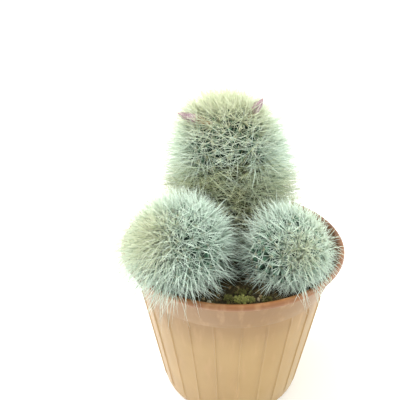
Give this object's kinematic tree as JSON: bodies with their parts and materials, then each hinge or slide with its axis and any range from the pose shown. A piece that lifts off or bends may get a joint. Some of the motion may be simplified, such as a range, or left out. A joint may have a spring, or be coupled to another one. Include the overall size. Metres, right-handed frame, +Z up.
{
  "type": "potted pincushion cactus",
  "caption": "Clump of white-spined pincushion cactus, a tall stem with round offsets and closed mauve flowers, in a ribbed terracotta-coloured plastic pot.",
  "frame": {"origin": "centre of the pot's base, on the surface it stands on", "axes": "+Z up along the pot's axis; -Y is the front of the clump, where the two round heads are; +X is to the right seen from the front"},
  "size_m": [0.088, 0.0899, 0.1237],
  "materials": {
    "pot_plastic": "satin moulded terracotta-coloured plastic",
    "potting_soil": "dry potting soil with grit",
    "stem_and_spines": "blue-green skin under dense white spines",
    "petals": "wilted mauve petals"
  },
  "bodies": {
    "root": {"pot": "pot_plastic", "soil": "potting_soil", "tall_stem": "stem_and_spines", "left_head": "stem_and_spines", "right_head": "stem_and_spines", "flower_left": "petals", "flower_right": "petals"}
  },
  "joints": []
}
